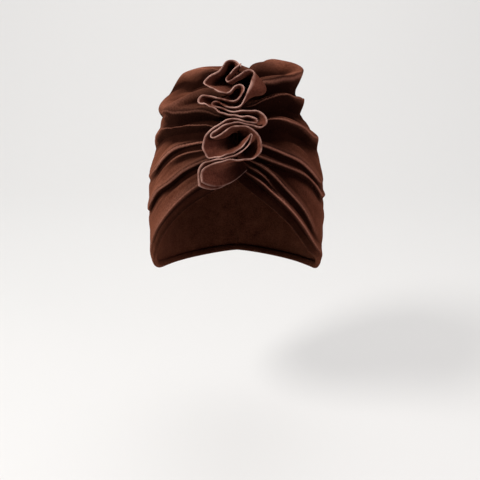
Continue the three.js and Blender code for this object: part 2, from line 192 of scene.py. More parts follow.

# %% [markdown]
# A fold in pulled cloth isn't a plain ridge. Seen in section its top swells slowly, its
# crest is tight, and below the crest the cloth turns back under itself into a dark
# crease. So each fold has a width above and below its crest, a droop that pulls the
# crest down over the crease, and a tuck that sinks the crease. A crispness of 1 makes a
# taut line with hollow flanks, as where the cloth is pulled towards the seam, and 0 a
# soft round bulge, as in the puff. Each fold's stations give how far round it is, how
# far up, and how many millimetres its crest stands off there. A fold with a tuck also
# leaves three marks for painted light on the velour: the distance from its crest, how
# bright the painted highlight line along the crest is, and the painted shade in the
# hollow beneath it.

# %% Folds
COLUMNS = ("fold", "above", "below", "droop", "tuck", "crisp", "stations")
LEFT_FOLDS = [
    ("hem ridge", 0.075, 0.03, 0.006, 0.4, 0.3, [
        (0.03, 0.03, 2), (0.07, 0.028, 3), (0.15, 0.018, 3), (0.3, 0.018, 1.5), (0.75, 0.03, 0)]),
    ("brow", 0.080, 0.024, 0.020, 3.0, 0.9, [
        (0.03, 0.115, 4), (0.09, 0.122, 5.5), (0.125, 0.12, 6), (0.17, 0.147, 5.5),
        (0.212, 0.155, 4.5), (0.28, 0.19, 2.5), (0.45, 0.31, 1), (0.75, 0.39, 0)]),
    ("temple", 0.065, 0.022, 0.018, 2.8, 0.9, [
        (0.03, 0.20, 4), (0.08, 0.238, 5.5), (0.11, 0.258, 6), (0.154, 0.273, 5),
        (0.18, 0.28, 4), (0.28, 0.36, 2), (0.45, 0.47, 0.5), (0.75, 0.52, 0)]),
    ("fine crease", 0.022, 0.018, 0.008, 1.2, 0.7, [
        (0.03, 0.17, 2), (0.075, 0.20, 3), (0.105, 0.218, 2.5), (0.15, 0.235, 0), (0.75, 0.3, 0)]),
    ("tuck", 0.038, 0.040, 0.030, 3.0, 0.2, [
        (0.03, 0.265, 6), (0.05, 0.288, 7.5), (0.082, 0.325, 8.5), (0.116, 0.372, 8.5),
        (0.168, 0.438, 7.5), (0.22, 0.48, 6), (0.28, 0.53, 3), (0.45, 0.62, 1), (0.75, 0.66, 0)]),
    ("edge of puff", 0.11, 0.026, 0.032, 3.0, 0.15, [
        (0.03, 0.322, 9), (0.05, 0.344, 11), (0.076, 0.370, 12), (0.10, 0.395, 13),
        (0.12, 0.422, 13), (0.145, 0.465, 13.5), (0.18, 0.525, 13), (0.23, 0.60, 12),
        (0.28, 0.65, 11), (0.36, 0.685, 10), (0.45, 0.70, 9), (0.75, 0.76, 0)]),
    ("front of puff", 0.07, 0.075, 0.0, 0.0, 0.35, [
        (0.03, 0.46, 10), (0.05, 0.472, 13), (0.09, 0.470, 15), (0.128, 0.475, 14.5),
        (0.17, 0.51, 8), (0.22, 0.57, 0), (0.75, 0.76, 0)]),
    ("belly of puff", 0.14, 0.14, 0.0, 0.0, 0.0, [
        (0.03, 0.60, 1), (0.09, 0.61, 1), (0.15, 0.63, 2), (0.28, 0.73, 8), (0.45, 0.80, 8),
        (0.75, 0.84, 0)]),
    ("top of puff", 0.13, 0.09, 0.025, 2.2, 0.2, [
        (0.03, 0.74, 8), (0.10, 0.78, 11.5), (0.15, 0.80, 13), (0.28, 0.84, 13),
        (0.45, 0.84, 12.5), (0.75, 0.88, 0)]),
]
RIGHT_FOLDS = [
    ("hem ridge", 0.022, 0.024, 0.008, 0.6, 0.7, [
        (0.02, 0.030, 4), (0.045, 0.030, 5), (0.07, 0.026, 5), (0.12, 0.020, 4),
        (0.3, 0.015, 1.5), (0.75, 0.02, 0)]),
    ("cheek", 0.018, 0.014, 0.008, 2.0, 0.6, [
        (0.02, 0.058, 4.5), (0.036, 0.060, 5.5), (0.052, 0.060, 4.5), (0.065, 0.052, 2),
        (0.10, 0.04, 0), (0.75, 0.04, 0)]),
    ("brow", 0.026, 0.018, 0.012, 2.6, 0.6, [
        (0.03, 0.098, 6), (0.046, 0.094, 7.5), (0.062, 0.089, 7), (0.094, 0.070, 5.5),
        (0.142, 0.064, 3.5), (0.2, 0.055, 1), (0.3, 0.05, 0), (0.75, 0.05, 0)]),
    ("rope", 0.030, 0.022, 0.020, 3.2, 0.5, [
        (0.03, 0.135, 6), (0.06, 0.143, 7.5), (0.11, 0.18, 8), (0.164, 0.218, 7.5),
        (0.206, 0.228, 5.5), (0.28, 0.28, 2.5), (0.45, 0.36, 0.7), (0.75, 0.42, 0)]),
    ("temple", 0.05, 0.022, 0.016, 2.8, 0.9, [
        (0.03, 0.195, 4.5), (0.072, 0.21, 6), (0.11, 0.235, 6), (0.15, 0.253, 5),
        (0.2, 0.28, 3), (0.28, 0.35, 1), (0.45, 0.45, 0.3), (0.75, 0.50, 0)]),
    ("tuck", 0.040, 0.046, 0.034, 3.2, 0.4, [
        (0.03, 0.28, 8), (0.046, 0.315, 10), (0.072, 0.345, 11), (0.092, 0.36, 10.5),
        (0.124, 0.388, 10), (0.146, 0.402, 9.5), (0.2, 0.46, 8), (0.25, 0.50, 4),
        (0.3, 0.54, 2), (0.45, 0.62, 1), (0.75, 0.66, 0)]),
    ("roll", 0.040, 0.045, 0.036, 3.2, 0.3, [
        (0.03, 0.385, 11), (0.042, 0.40, 13), (0.062, 0.44, 14), (0.096, 0.50, 14),
        (0.128, 0.535, 13.5), (0.15, 0.56, 13), (0.22, 0.64, 12), (0.28, 0.69, 11),
        (0.36, 0.72, 9), (0.45, 0.73, 7.5), (0.75, 0.76, 0)]),
    ("flap", 0.12, 0.026, 0.036, 4.0, 0.4, [
        (0.02, 0.50, 12), (0.05, 0.52, 17), (0.08, 0.545, 20), (0.12, 0.595, 23),
        (0.16, 0.645, 25), (0.20, 0.685, 26), (0.25, 0.725, 26), (0.30, 0.755, 23),
        (0.36, 0.785, 10), (0.45, 0.81, 5), (0.75, 0.83, 0)]),
    ("top of flap", 0.13, 0.10, 0.01, 0.0, 0.1, [
        (0.02, 0.67, 12), (0.06, 0.71, 16), (0.10, 0.745, 18), (0.156, 0.79, 20),
        (0.22, 0.79, 23), (0.28, 0.80, 21), (0.36, 0.83, 11), (0.45, 0.86, 8), (0.75, 0.88, 0)]),
]
FOLDS = {
    "left": [dict(zip(COLUMNS, row)) for row in LEFT_FOLDS],
    "right": [dict(zip(COLUMNS, row)) for row in RIGHT_FOLDS],
}
FOLD_FADE = (0.002, 0.05)
FULL_RISE, FULL_TUCK = 5, 2.6
DEEPER, DEEPER_ZONE = 1.2, (0.05, 0.2)
PALER, PALER_ZONE = 0.45, (0.10, 0.30)
SLACK_FOOT, CREASE_PLACE, CREASE_WIDTH = 1.3, 1.15, 0.8
LINE_DROP, LINE_REACH, SOFT_LINE = 0.0030, (0.008, 0.011), 0.25
HOLLOW_START, HOLLOW_END = (0.05, 0.45), (0.9, 2.4)
FARTHEST = 0.02
TOP_RISE, TOP_ZONE, TOP_FADE = 10, (0.75, 1), (0.4, 0.9)
TIP, SOFT_POWER, TAUT_POWER, BLEND = 0.004, 1.5, 1.7, 3


def ridge(x, crisp=0.0):
    """1 at the crest and 0 at both feet, round or with a taut crest."""
    soft = np.maximum(0, 1 - x * x) ** SOFT_POWER
    taut = np.maximum(0, 1 - np.sqrt(x * x + TIP)) ** TAUT_POWER
    return soft + crisp * (taut - soft)


def drape(up, around, hand):
    """How far the cloth stands off, how far its droop moves it, and its painted light marks."""
    powers, sunk, droop, line, hollow = (np.zeros(up.shape) for _ in range(5))
    from_crest = np.ones(up.shape)
    fade = smooth(around, *FOLD_FADE)
    deeper = 1 + DEEPER * (1 - smooth(around, *DEEPER_ZONE))
    darker = 1 - PALER * smooth(around, *PALER_ZONE)
    for row in FOLDS[hand]:
        places, lines, rises = zip(*row["stations"])
        above, below, tuck = row["above"], row["below"], row["tuck"]
        rise = np.maximum(0, line_at(places, rises, around)) * fade
        strength = np.clip(rise / FULL_RISE, 0, 1)
        pull = row["droop"] * strength
        away = up - line_at(places, lines, around) - pull
        powers += (rise * ridge(away / np.where(away > 0, above, below), row["crisp"])) ** BLEND
        droop += pull * ridge(away / np.where(away > 0, above, SLACK_FOOT * below))
        crease = (away + CREASE_PLACE * below) / (CREASE_WIDTH * below)
        sunk += tuck * deeper * strength * np.exp(-(crease**2))
        # Painted highlight: a thin line just below each crest. Painted shade: the hollow beneath
        # it, paler round the sides.
        if tuck > 0:
            reach = away + LINE_DROP
            nearer = np.abs(reach) < np.abs(from_crest)
            from_crest = np.where(nearer, reach, from_crest)
            bright = strength * (SOFT_LINE + (1 - SOFT_LINE) * row["crisp"])
            line = np.where(nearer, bright * (1 - smooth(np.abs(reach), *LINE_REACH)), line)
            depth = -away / below
            under = smooth(depth, *HOLLOW_START) * (1 - smooth(depth, *HOLLOW_END))
            hollow = np.maximum(hollow, under * strength * darker * min(1, tuck / FULL_TUCK))
    gathered = TOP_RISE * smooth(up, *TOP_ZONE) * (1 - smooth(around, *TOP_FADE))
    relief = (powers + gathered**BLEND) ** (1 / BLEND)
    from_crest = np.clip(from_crest, -FARTHEST, FARTHEST)
    return relief - sunk, droop, {"line": line, "from_crest": from_crest, "hollow": hollow}


print("folds:", {hand: len(rows) for hand, rows in FOLDS.items()})

# %% [markdown]
# Between the named folds the cloth has small gathers that fan out of the front seam, and
# slow waves along the threads. Waves of many lengths, with fixed seeds, give both. Near
# the seam they are short and tight, and they die away round the sides. The grid is
# closer near the front seam, where the folds are sharpest.

# %% Small gathers
ROWS, COLS, CROWDING = 370, 126, 1.25
UP_SHARE = np.linspace(0, 1, ROWS + 1)[:, None]
ROUND_SHARE = (np.linspace(0, 1, COLS + 1) ** CROWDING)[None, :]
LAYER = 1.5
CLOSE_TO_HEM, OVER_HEM, HEM_ZONE = 0.03, 0.016, 0.05
BACK_GROOVE, GROOVE_WIDTH = 1.0, 0.012
SEAM_LAP = 0.15
DEEPEST = -1.0
GATHERS = [
    # waves to the width, waves to the length, height, round shares over which they fade
    (26, 1.5, 0.35, (0.05, 0.26)),
    (9, 2.2, 0.25, (0.3, 0.85)),
    (4, 3.0, 0.25, (1, 2)),
]
CALM_EDGES = (0.06, 0.04, 0.02, 0.03)


def panel_grid(hand):
    up, around = np.broadcast_arrays(UP_SHARE, ROUND_SHARE)
    relief, droop, marks = drape(up, around, hand)
    gathers = 0
    for across, along, height, fade in GATHERS:
        waves = ripples(up, around, across, along) * height
        gathers = gathers + waves * (1 - smooth(around, *fade))
    edges = zip((up, 1 - up, around, 1 - around), CALM_EDGES)
    calm = math.prod(smooth(distance, 0, reach) for distance, reach in edges)
    relief = np.maximum(relief + calm * gathers, DEEPEST)
    relief = relief - BACK_GROOVE * np.exp(-(((1 - around) / GROOVE_WIDTH) ** 2))
    moved = np.clip(up - droop * smooth(up, 0, CLOSE_TO_HEM), 0, 1)
    moved = moved - OVER_HEM * (1 - smooth(up, 0, HEM_ZONE))
    points = crown_point(moved, around, hand, SHELL + relief)
    points[..., 0] += SEAM_LAP if hand == "left" else -SEAM_LAP
    return points, relief, marks


for hand in FOLDS:
    heights = panel_grid(hand)[1]
    print(hand, "relief", heights.min().round(1), "to", heights.max().round(1), "mm")

# %% [markdown]
# Every piece here is one layer or a doubled layer of cloth, so each becomes a closed
# thin wall: the same grid twice, half a thickness to either side, joined round the rim.
# A Solidify modifier could do this too, but two grids in code keep the rim square and
# let each piece carry marks, such as its painted highlights and painted shade, from point
# to point.


# %% Closed walls of cloth
def grid_normals(points):
    along_rows = np.gradient(points, axis=0)
    along_columns = np.gradient(points, axis=1)
    return unit(np.cross(along_columns, along_rows))


def add_marks(mesh, marks):
    """Named values for each point, which the materials read."""
    for mark, values in marks.items():
        layer = mesh.attributes.new(mark, "FLOAT", "POINT")
        layer.data.foreach_set("value", values.reshape(-1).astype(np.float32))


def add_piece(name, points, faces, marks):
    """A smooth-shaded piece from points in millimetres, with its marks."""
    mesh = bpy.data.meshes.new(name)
    mesh.from_pydata((points.reshape(-1, 3) * MM).tolist(), [], faces.tolist())
    add_marks(mesh, marks)
    mesh.polygons.foreach_set("use_smooth", np.ones(len(mesh.polygons), bool))
    piece = bpy.data.objects.new(name, mesh)
    bpy.context.collection.objects.link(piece)
    return piece


def wall_mesh(name, outer, inner, marks):
    """A closed wall of two like grids, each grid point's marks on both sides."""
    rows, columns = outer.shape[:2]
    count = rows * columns
    index = np.arange(count).reshape(rows, columns)
    a, b, c, d = index[:-1, :-1], index[:-1, 1:], index[1:, 1:], index[1:, :-1]
    front = np.stack([a, b, c, d], -1).reshape(-1, 4)
    back = front[:, ::-1] + count
    rim = []
    for edge in (index[0, :], index[:, -1], index[-1, ::-1], index[::-1, 0]):
        rim.append(np.stack([edge[1:], edge[:-1], edge[:-1] + count, edge[1:] + count], -1))
    faces = np.concatenate([front, back, *rim])
    both = {mark: np.stack([values, values]) for mark, values in marks.items()}
    return add_piece(name, np.stack([outer, inner]), faces, both)


def even_out(values, passes):
    """Each value averaged with its neighbours so many times over, both ends kept."""
    for _ in range(passes):
        between = (values[:-2] + 2 * values[1:-1] + values[2:]) / 4
        values = np.concatenate([values[:1], between, values[-1:]])
    return values


def spread(values, up_steps, round_steps=0):
    """values evened out up and down, and then round."""
    return even_out(even_out(values, up_steps).T, round_steps).T


def face_area(piece):
    """Half of all the faces' area, which is the cloth's own, in square metres."""
    return sum(face.area for face in piece.data.polygons) / 2


print("walls ready")

# %% [markdown]
# The crown's two halves. Each is the same kind of draped panel, the left with one big
# puff on top and the right with two rolled tucks and a flap. The crest mark paints a
# highlight where the cloth is rounded outward, and the crease mark paints shade where it
# turns in. The crease mark also paints shade beneath each fold, beside the front seam,
# where the gathers close up, and in a narrow band along the hem.

# %% Crown panels
FINE_STEPS, BROAD_STEPS, MARK_STEPS, HOLLOW_STEPS = 45, 400, (5, 6), (1, 2)
CREST_LEVEL, FINE_CREST, BROAD_CREST = 0.22, 0.5, 2
FINE_CREASE, BROAD_CREASE = (0.55, 0.8), (0.6, 2.5)
SEAM_SHADE, SEAM_ZONE = 0.75, (0.04, 0.17)
HEM_SHADE_ZONE, HEM_PALER, HEM_PALER_ZONE = (0.004, 0.026), 0.7, (0.12, 0.4)


def crown_marks(relief, marks):
    """Painted highlight (crest) and painted shade (crease) from the relief, beside the folds' own
    marks.
    """
    fine, broad = relief - spread(relief, FINE_STEPS), relief - spread(relief, BROAD_STEPS)
    # Painted highlight where the cloth is rounded outward.
    crest = np.clip(fine / FINE_CREST, 0, 1) * np.clip(0.5 + broad / BROAD_CREST, 0, 1)
    sunk = 0
    for part, (share, full_depth) in ((fine, FINE_CREASE), (broad, BROAD_CREASE)):
        sunk = sunk + share * np.clip(-part / full_depth, 0, 1)
    # Painted shade beside the front seam and in a band along the hem, paler round the sides.
    beside_seam = SEAM_SHADE * (1 - smooth(ROUND_SHARE, *SEAM_ZONE))
    by_hem = 1 - smooth(UP_SHARE, *HEM_SHADE_ZONE)
    by_hem = by_hem * (1 - HEM_PALER * smooth(ROUND_SHARE, *HEM_PALER_ZONE))
    crease = spread(sunk, *MARK_STEPS) + spread(marks["hollow"], *HOLLOW_STEPS)
    return {
        "crest": CREST_LEVEL * spread(crest, *MARK_STEPS),
        "crease": np.clip(crease + beside_seam + by_hem, 0, 1),
        "line": marks["line"],
        "from_crest": marks["from_crest"],
    }


crown = {}
for hand in FOLDS:
    outer, relief, marks = panel_grid(hand)
    marks = crown_marks(relief, marks)
    normals = grid_normals(outer)
    if (normals * (outer - np.array([0, 0, CROWN["middle"]]))).sum() < 0:
        normals = -normals
    inner = outer - normals * LAYER
    if hand == "left":
        outer, inner = outer[:, ::-1], inner[:, ::-1]
        marks = {mark: values[:, ::-1] for mark, values in marks.items()}
    crown[hand] = wall_mesh(f"crown_cloth_{hand}", outer, inner, marks)
    print(crown[hand].name, "cloth area", round(face_area(crown[hand]), 4), "m2")

# %% [markdown]
# The ruffle is the panels' spare cloth beyond the seam, left to stand in flutes. Seen
# from the front each of its two free edges runs like a belt round pegs, so the tables
# name the bends: where each one is, how wide it turns and which way. From every point
# of the edge a smooth curve leads back to its own place on the seam.

# %% Ruffle edges
BEND = ("bend", "side", "climb", "radius", "turn", "seam")
RIGHT_EDGE = [
    ("top end", 4, 161, 0, 1, 1.00),
    ("first dip", -5.5, 144.5, 2.6, 1, 0.96),
    ("spike", 11.2, 153, 3, -1, 0.90),
    ("bowl", -2, 129.5, 9, -1, 0.73),
    ("left tip", -16.7, 126, 2.1, 1, 0.64),
    ("long sag", 0, 134, 16.2, 1, 0.58),
    ("right loop", 17.5, 114, 6.2, -1, 0.48),
    ("bump", -2, 104.8, 5.4, 1, 0.40),
    ("inner tip", -17, 101.4, 2.5, 1, 0.34),
    ("top of oval", 4, 86, 21.5, -1, 0.28),
    ("end of oval", 10.3, 95.5, 9.2, -1, 0.21),
    ("foot of oval", 9.3, 93, 9.8, -1, 0.15),
    ("straight", -5, 62.6, 20, 1, 0.09),
    ("last fold", -20.5, 74.2, 5.6, 1, 0.04),
    ("bottom end", -25.4, 67.5, 0, 1, 0.00),
]
LEFT_EDGE = [
    ("top end", 4, 158, 0, 1, 1.00),
    ("top of flute", -3.5, 160, 5.6, 1, 0.99),
    ("waist", -16, 159, 5.5, -1, 0.97),
    ("left lobe", -22.4, 147.2, 2.9, 1, 0.94),
    ("first dip", -7.8, 138.8, 6.2, 1, 0.87),
    ("small loop", 3.2, 136, 4.1, -1, 0.775),
    ("inner bowl", -3.2, 131, 5.6, -1, 0.75),
    ("left tip", -27, 133.6, 2.7, 1, 0.66),
    ("long sag", 0, 134, 19.3, 1, 0.56),
    ("inner loop", 14.2, 112.2, 2.6, -1, 0.50),
    ("bump", -3, 104.3, 8.6, 1, 0.42),
    ("outer round", -14.5, 96.5, 10.3, 1, 0.34),
    ("foot of round", -17, 90.3, 5.8, 1, 0.28),
    ("way out", -9, 107, 20.3, 1, 0.21),
    ("narrow tip", 11.9, 101.8, 1.2, -1, 0.15),
    ("way back", -9, 107, 22.8, -1, 0.12),
    ("last fold", -21.5, 76, 6.9, 1, 0.06),
    ("bottom end", -27.4, 64.8, 0, 1, 0.00),
]
EDGES = {
    "left": [dict(zip(BEND, row)) for row in LEFT_EDGE],
    "right": [dict(zip(BEND, row)) for row in RIGHT_EDGE],
}
STEP, CORNER_PASSES = 0.9, 12


def edge_path(rows):
    """Places (side, climb) along a belt round its bends, and the seam's share at each."""
    middles = np.array([[row["side"], row["climb"]] for row in rows], float)
    headings = []
    for before, after, line in zip(rows, rows[1:], np.diff(middles, axis=0)):
        offset = before["turn"] * before["radius"] - after["turn"] * after["radius"]
        tilt = math.asin(max(-1, min(1, offset / float(np.hypot(*line)))))
        headings.append(math.atan2(line[1], line[0]) + tilt)
    path, owner = [], []
    for i, row in enumerate(rows):
        enter, leave = headings[max(i - 1, 0)], headings[min(i, len(headings) - 1)]
        swing, count = 0, 0
        if row["radius"] > 0:
            swing = (row["turn"] * (leave - enter)) % (2 * math.pi)
            count = max(2, math.ceil(swing * row["radius"] / STEP))
        for k in range(count + 1):
            heading = enter + row["turn"] * swing * k / max(count, 1)
            side = row["side"] + row["turn"] * row["radius"] * math.sin(heading)
            climb = row["climb"] - row["turn"] * row["radius"] * math.cos(heading)
            path.append((side, climb))
            owner.append(i)
    path, owner = np.array(path), np.array(owner)
    lengths = np.concatenate([[0], np.cumsum(np.hypot(*np.diff(path, axis=0).T))])
    middle_lengths = [lengths[owner == i][[0, -1]].mean() for i in range(len(rows))]
    seams = [row["seam"] for row in rows]
    even = np.arange(0, lengths[-1], STEP)
    side, climb = (even_out(np.interp(even, lengths, axis), CORNER_PASSES) for axis in path.T)
    return side, climb, np.interp(even, middle_lengths, seams)


for hand, rows in EDGES.items():
    print(hand, "edge", round(len(edge_path(rows)[0]) * STEP), "mm long")

# %% [markdown]
# The walls of the ruffle. They leave the seam straight, stand clear of the crown and
# then flare sideways, and the last millimetres turn outward as a raw edge does. Near the
# top the right wall swells into a small cone, and the bottom end sags a little. A soft
# belly and a few ripples keep the walls from looking like bent card.

# %% Ruffle walls
CLIMB_RADIUS, REACH, STAND, LEAST_STAND, LIP = 140, 42, 31, 0.05, 10
FOOT, TOP, TAIL, TAIL_FROM = 0.02, 0.62, 0.24, 0.88
ROOT = (2, 14)
FOOT_GAP, SEAM_SPACING, FLARE = 1.4, 2.0, 1.3
LEVELS = 26
ONE_LAYER, EDGE_THIN, EDGE_ZONE = 1.0, 0.8, (0.93, 1)
END_SHIFT, SHIFT_TO = np.array([6.5, -3.0, -5.0]), 0.12
END_SAG, SAG_TO = np.array([0.0, -2.0, -5.0]), 0.10
CONE_PLACE, CONE_WIDTH, CONE_LEVEL = 0.85, 0.055, 1.8
CONE_PUSH = np.array([15.0, -2.0, -5.0])
WAVE_LENGTH = 100
SWELL, SWELL_HEIGHT, SWELL_LEVEL = (7, 1.2), 0.45, 0.8
FRILL, FRILL_HEIGHT, FRILL_ZONE = (9, 0), 0.35, (0.6, 1)
RAW_ZONE, RAW_END = (0.975, 0.999), (0.4, 1.2)
FOOT_SHADE, FOOT_ZONE = 0.95, (0.20, 0.85)


def edge_point(side, climb, inward):
    d = arc(np.degrees(climb / CLIMB_RADIUS))
    stand = STAND * np.sqrt(np.maximum(1 - (side / REACH) ** 2, LEAST_STAND))
    point = d * (crown_radius(d) + SHELL + stand - inward)[..., None]
    point[..., 2] += CROWN["middle"]
    point[..., 0] += side
    return point


def ruffle_grid(hand):
    """A grid of points from the seam (level 0) to the free edge (level 1)."""
    side, climb, place = edge_path(EDGES[hand])
    up = lerp(FOOT, TOP, place) + TAIL * smooth(place, TAIL_FROM, 1)
    relief = drape(up, 0 * up, hand)[0]
    foot = crown_point(up, 0 * up, "right", SHELL + np.maximum(relief, 0) + FOOT_GAP)
    foot[:, 0] = -SEAM_SPACING if hand == "left" else SEAM_SPACING
    foot += END_SHIFT * (1 - smooth(place, 0, SHIFT_TO))[:, None]
    root = foot + direction(up, 0 * up, "right") * lerp(*ROOT, place)[:, None]
    lip, edge = edge_point(side, climb, LIP), edge_point(side, climb, 0)
    level = np.linspace(0, 1, LEVELS + 1)[None, :, None]
    curve = (1 - level) ** 3 * foot[:, None] + 3 * (1 - level) ** 2 * level * root[:, None]
    curve = curve + 3 * (1 - level) * level**2 * lip[:, None] + level**3 * edge[:, None]
    level = level[..., 0]
    curve[..., 0] = lerp(foot[:, None, 0], edge[:, None, 0], level**FLARE)
    sag = np.sin(math.pi * level) * (1 - smooth(place, 0, SAG_TO))[:, None]
    curve += END_SAG * sag[..., None]
    if hand == "right":
        near_cone = np.exp(-(((place - CONE_PLACE) / CONE_WIDTH) ** 2))[:, None]
        curve += CONE_PUSH * (np.sin(math.pi * level**CONE_LEVEL) * near_cone)[..., None]
    length = np.arange(len(side))[:, None] * STEP / WAVE_LENGTH
    swell = SWELL_HEIGHT * ripples(length, level, *SWELL) * np.sin(math.pi * level**SWELL_LEVEL)
    frill = FRILL_HEIGHT * ripples(length, 0 * level, *FRILL) * smooth(level, *FRILL_ZONE)
    return curve + grid_normals(curve) * (swell + frill)[..., None], level + 0 * length


ruffle = {}
for hand in EDGES:
    middle, level = ruffle_grid(hand)
    half = ONE_LAYER / 2 * lerp(1.0, EDGE_THIN, smooth(level, *EDGE_ZONE))
    half = grid_normals(middle) * half[..., None]
    stations = np.arange(len(level))[:, None] * STEP
    from_end = np.minimum(stations, stations[-1] - stations)
    marks = {
        "raw_edge": np.maximum(smooth(level, *RAW_ZONE), 1 - smooth(from_end, *RAW_END)),
        "crest": 0 * level,
        # Painted shade, darkest at the ruffle's foot by the seam.
        "crease": FOOT_SHADE * (1 - smooth(level, *FOOT_ZONE)),
    }
    ruffle[hand] = wall_mesh(f"ruffle_cloth_{hand}", middle + half, middle - half, marks)
    print(ruffle[hand].name, "cloth area", round(face_area(ruffle[hand]), 4), "m2")

# %% [markdown]
# The hem is the cloth's own edge, turned in and stitched, so it reads as a soft roll
# between 6 and 7 mm high. A bevelled curve would give a perfect tube. Here rings are laid
# along the opening instead, each a little flatter or fuller than the last, and the roll
# leans with the crown's slope. Its crease mark is painted shade, darkest at the front and
# on the roll's underside.

# %% Hem
HEM_HEIGHT, HEM_THICK, HEM_RINGS, HEM_SIDES = 6.6, 4.6, 420, 28
HEM_SPAN, HEM_SQUARE = 4, 0.8
HEM_FULLER, HEM_WAVES = 0.07, 6
HEM_DARK, HEM_DARK_ZONE = (0.95, 0.25), (0.10, 0.40)
UNDER_DARK, UNDER_ZONE = 0.5, (0.1, 0.5)


def squared(wave):
    """A sine or cosine made fuller, so that the roll is a little flat."""
    return np.sign(wave) * np.abs(wave) ** HEM_SQUARE


def hem_rings():
    """Rings of points along the head opening, and the painted shade at each."""
    half = HEM_RINGS // 2
    around = np.concatenate([np.arange(half) / half, 1 - np.arange(half) / half])
    points, out = np.zeros((HEM_RINGS, 3)), np.zeros((HEM_RINGS, 3))
    for hand, chosen in (("left", slice(0, half)), ("right", slice(half, HEM_RINGS))):
        points[chosen] = crown_point(0 * around[chosen], around[chosen], hand, SHELL / 2)
        out[chosen] = direction(0 * around[chosen], around[chosen], hand)
    along = unit(np.roll(points, -HEM_SPAN, axis=0) - np.roll(points, HEM_SPAN, axis=0))
    down = unit(np.cross(out, along))
    angle = (np.arange(HEM_SIDES) + 0.5) / HEM_SIDES * 2 * math.pi
    turn = 2 * math.pi * np.arange(HEM_RINGS)[:, None] / HEM_RINGS
    full = 1 + HEM_FULLER * ripples(np.cos(turn), np.sin(turn), HEM_WAVES, HEM_WAVES)
    roll = squared(np.sin(angle)) * (HEM_HEIGHT / 2)
    thick = squared(np.cos(angle)) * (HEM_THICK / 2)
    middle = points + down * (HEM_HEIGHT / 2)
    rings = middle[:, None] + down[:, None] * roll[None, :, None]
    # Painted shade: darkest at the front, paler round the sides, and deeper on the roll's
    # underside.
    dark = lerp(*HEM_DARK, smooth(around, *HEM_DARK_ZONE))[:, None]
    under = UNDER_DARK * smooth(-roll / HEM_HEIGHT, *UNDER_ZONE)[None, :]
    return rings + out[:, None] * (thick[None, :] * full)[..., None], np.clip(dark + under, 0, 1)


def tube_mesh(name, rings, crease):
    """A closed ring of like rings of points."""
    index = np.arange(crease.size).reshape(crease.shape)
    after = np.roll(index, -1, axis=0)
    faces = [index, after, np.roll(after, -1, axis=1), np.roll(index, -1, axis=1)]
    marks = {"crest": 0 * crease, "crease": crease}
    return add_piece(name, rings, np.stack(faces, -1).reshape(-1, 4), marks)


hem = tube_mesh("hem_roll", *hem_rings())
print("hem area", round(face_area(hem), 4), "m2")

# %% [markdown]
# The velours are made of shader nodes, and a few kinds of node come again and again. So
# short helpers add them: a calculation, a value moved to another range, a mix of two
# colours, and a mark read from the piece's own points.


# %% Node helpers
def feed(tree, value, socket):
    """Joins an output to a socket, or sets the socket to a plain value."""
    if isinstance(value, bpy.types.NodeSocket):
        tree.links.new(value, socket)
    else:
        socket.default_value = value


def maths(tree, operation, *values, clamp=False):
    node = tree.nodes.new("ShaderNodeMath")
    node.operation, node.use_clamp = operation, clamp
    for socket, value in zip(node.inputs, values):
        feed(tree, value, socket)
    return node.outputs[0]


def ranged(tree, value, ends, interpolation="LINEAR"):
    node = tree.nodes.new("ShaderNodeMapRange")
    node.interpolation_type = interpolation
    feed(tree, value, node.inputs["Value"])
    for name, end in ends.items():
        feed(tree, end, node.inputs[name])
    return node.outputs["Result"]


def mix(tree, factor, first, second):
    node = tree.nodes.new("ShaderNodeMix")
    node.data_type = "RGBA"
    for name, value in (("Factor", factor), ("A", first), ("B", second)):
        feed(tree, value, node.inputs[name])
    return node.outputs["Result"]


def mark(tree, name):
    node = tree.nodes.new("ShaderNodeAttribute")
    node.attribute_name = name
    return node.outputs["Fac"]


print("node helpers ready")

# %% [markdown]
# Velour is a knit with a short cut pile. Its pile leans a little this way and that, so
# the colour drifts in soft patches, and close up it has a fine grain. One node group
# makes both from the piece's own coordinates: patches for the colour, and grain for the
# colour and a bump. It is built once and placed in all three velours.

# %% Pile node group
PILE_SIZES = {"Patch Size": 0.012, "Grain Size": 0.0013}
PATCH_NOISE, PATCH_ENDS = {"Detail": 4, "Roughness": 0.6}, {"From Min": 0.32, "From Max": 0.68}
GRAIN_NOISE, GRAIN_ENDS = {"Detail": 2, "Roughness": 0.5}, {"From Min": 0.25, "From Max": 0.75}
PATCH_HEIGHT = 0.35


def pile_group():
    group = bpy.data.node_groups.new("velour_pile", "ShaderNodeTree")
    for name, value in PILE_SIZES.items():
        socket = group.interface.new_socket(name, in_out="INPUT", socket_type="NodeSocketFloat")
        socket.default_value = value
    for name in ("Patch", "Grain", "Height"):
        group.interface.new_socket(name, in_out="OUTPUT", socket_type="NodeSocketFloat")
    nodes, links = group.nodes, group.links
    entry, leave = nodes.new("NodeGroupInput"), nodes.new("NodeGroupOutput")
    place = nodes.new("ShaderNodeTexCoord")

    def noise(size, settings, ends):
        texture = nodes.new("ShaderNodeTexNoise")
        for name, value in settings.items():
            texture.inputs[name].default_value = value
        links.new(place.outputs["Object"], texture.inputs["Vector"])
        links.new(maths(group, "DIVIDE", 1.0, entry.outputs[size]), texture.inputs["Scale"])
        return ranged(group, texture.outputs["Fac"], ends)

    patch = noise("Patch Size", PATCH_NOISE, PATCH_ENDS)
    grain = noise("Grain Size", GRAIN_NOISE, GRAIN_ENDS)
    links.new(patch, leave.inputs["Patch"])
    links.new(grain, leave.inputs["Grain"])
    links.new(maths(group, "MULTIPLY_ADD", patch, PATCH_HEIGHT, grain), leave.inputs["Height"])
    return group


PILE = pile_group()
print("pile group outputs:", [s.name for s in PILE.interface.items_tree if s.in_out == "OUTPUT"])

